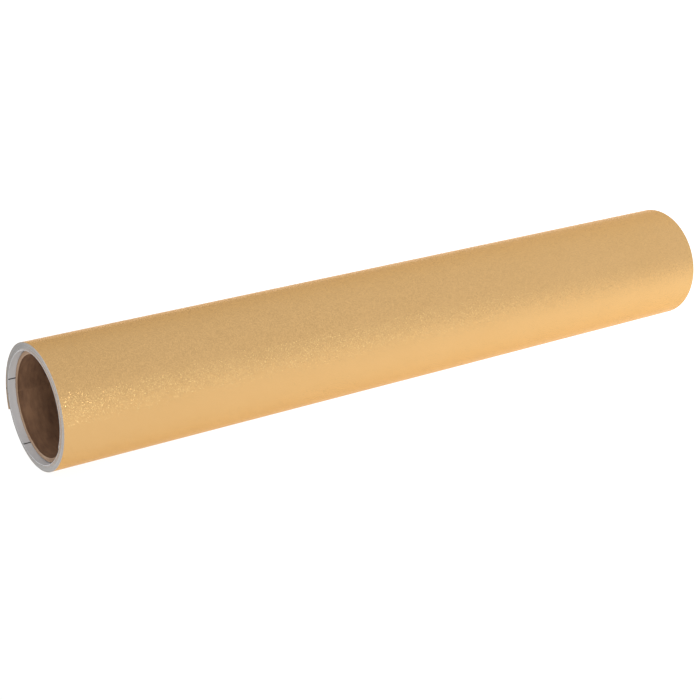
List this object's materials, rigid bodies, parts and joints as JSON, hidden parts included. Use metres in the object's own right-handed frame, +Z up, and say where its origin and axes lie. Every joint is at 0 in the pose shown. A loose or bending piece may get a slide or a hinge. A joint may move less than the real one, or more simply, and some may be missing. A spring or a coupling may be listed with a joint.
{
  "type": "roll of sign vinyl",
  "caption": "Roll of pearl gold self-adhesive sign vinyl on a release liner and paper core, with a free end that unrolls and film that peels.",
  "frame": {"origin": "centre of the core's bore, midway along the roll", "axes": "+X along the roll's axis, from the end seen nearest to the far end; +Y to the back, where the free end lies; +Z up"},
  "size_m": [0.3048, 0.0479, 0.0469],
  "materials": {
    "gold_film": "satin pearl gold with fine metallic flake",
    "release_liner": "smooth coated off-white paper with printed inch marks",
    "core_kraft": "spiral-wound brown paperboard",
    "starter_tape": "thin double-sided tissue tape"
  },
  "bodies": {
    "roll": {"core_inner_ply": "core_kraft", "core_middle_ply": "core_kraft", "core_outer_ply": "core_kraft", "starter_tape": "starter_tape", "liner_wound": "release_liner", "film_inner_wraps": "gold_film", "film_outer_wrap": "gold_film"},
    "tail_1": {"liner_tail_1": "release_liner", "film_tail_1": "gold_film"},
    "tail_2": {"liner_tail_2": "release_liner", "film_tail_2": "gold_film"},
    "tail_3": {"liner_tail_3": "release_liner", "film_tail_3": "gold_film"},
    "tail_4": {"liner_tail_4": "release_liner", "film_tail_4": "gold_film"},
    "tail_5": {"liner_tail_5": "release_liner", "film_tail_5": "gold_film"},
    "tail_end": {"liner_tail_end": "release_liner", "film_tail_end": "gold_film"},
    "peel_1": {"film_peel_1": "gold_film"},
    "peel_2": {"film_peel_2": "gold_film"},
    "peel_3": {"film_peel_3": "gold_film"},
    "peel_4": {"film_peel_4": "gold_film"},
    "peel_5": {"film_peel_5": "gold_film"},
    "peel_6": {"film_peel_6": "gold_film"}
  },
  "joints": [
    {"name": "tail_unroll", "type": "hinge", "parent": "roll", "child": "tail_1", "pos_m": [0, -0.00803, 0.02211], "axis": [1, 0, 0], "range_deg": [0, 12], "stiffness_Nm_per_rad": 0.01},
    {"name": "tail_2_unroll", "type": "hinge", "parent": "tail_1", "child": "tail_2", "pos_m": [0, -0.00326, 0.0233], "axis": [1, 0, 0], "range_deg": [0, 12], "stiffness_Nm_per_rad": 0.01},
    {"name": "tail_3_unroll", "type": "hinge", "parent": "tail_2", "child": "tail_3", "pos_m": [0, 0.00165, 0.02347], "axis": [1, 0, 0], "range_deg": [0, 12], "stiffness_Nm_per_rad": 0.01},
    {"name": "tail_4_unroll", "type": "hinge", "parent": "tail_3", "child": "tail_4", "pos_m": [0, 0.0065, 0.02261], "axis": [1, 0, 0], "range_deg": [0, 12], "stiffness_Nm_per_rad": 0.01},
    {"name": "tail_5_unroll", "type": "hinge", "parent": "tail_4", "child": "tail_5", "pos_m": [0, 0.01106, 0.02077], "axis": [1, 0, 0], "range_deg": [0, 12], "stiffness_Nm_per_rad": 0.01},
    {"name": "tail_end_unroll", "type": "hinge", "parent": "tail_5", "child": "tail_end", "pos_m": [0, 0.01513, 0.01801], "axis": [1, 0, 0], "range_deg": [0, 12], "stiffness_Nm_per_rad": 0.01},
    {"name": "film_peel", "type": "hinge", "parent": "tail_end", "child": "peel_1", "pos_m": [0, 0.01889, 0.01412], "axis": [1, 0, 0], "range_deg": [0, 27]},
    {"name": "film_peel_bend_2", "type": "hinge", "parent": "peel_1", "child": "peel_2", "pos_m": [0, 0.02109, 0.0108], "axis": [1, 0, 0], "range_deg": [0, 27]},
    {"name": "film_peel_bend_3", "type": "hinge", "parent": "peel_2", "child": "peel_3", "pos_m": [0, 0.02276, 0.00718], "axis": [1, 0, 0], "range_deg": [0, 27]},
    {"name": "film_peel_bend_4", "type": "hinge", "parent": "peel_3", "child": "peel_4", "pos_m": [0, 0.02385, 0.00335], "axis": [1, 0, 0], "range_deg": [0, 27]},
    {"name": "film_peel_bend_5", "type": "hinge", "parent": "peel_4", "child": "peel_5", "pos_m": [0, 0.02434, -0.00061], "axis": [1, 0, 0], "range_deg": [0, 27]},
    {"name": "film_peel_bend_6", "type": "hinge", "parent": "peel_5", "child": "peel_6", "pos_m": [0, 0.02421, -0.00459], "axis": [1, 0, 0], "range_deg": [0, 27]}
  ],
  "couplings": [
    {"joint": "tail_2_unroll", "follows": "tail_unroll", "ratio": 1},
    {"joint": "tail_3_unroll", "follows": "tail_unroll", "ratio": 1},
    {"joint": "tail_4_unroll", "follows": "tail_unroll", "ratio": 1},
    {"joint": "tail_5_unroll", "follows": "tail_unroll", "ratio": 1},
    {"joint": "tail_end_unroll", "follows": "tail_unroll", "ratio": 1},
    {"joint": "film_peel_bend_2", "follows": "film_peel", "ratio": 1},
    {"joint": "film_peel_bend_3", "follows": "film_peel", "ratio": 1},
    {"joint": "film_peel_bend_4", "follows": "film_peel", "ratio": 1},
    {"joint": "film_peel_bend_5", "follows": "film_peel", "ratio": 1},
    {"joint": "film_peel_bend_6", "follows": "film_peel", "ratio": 1}
  ]
}
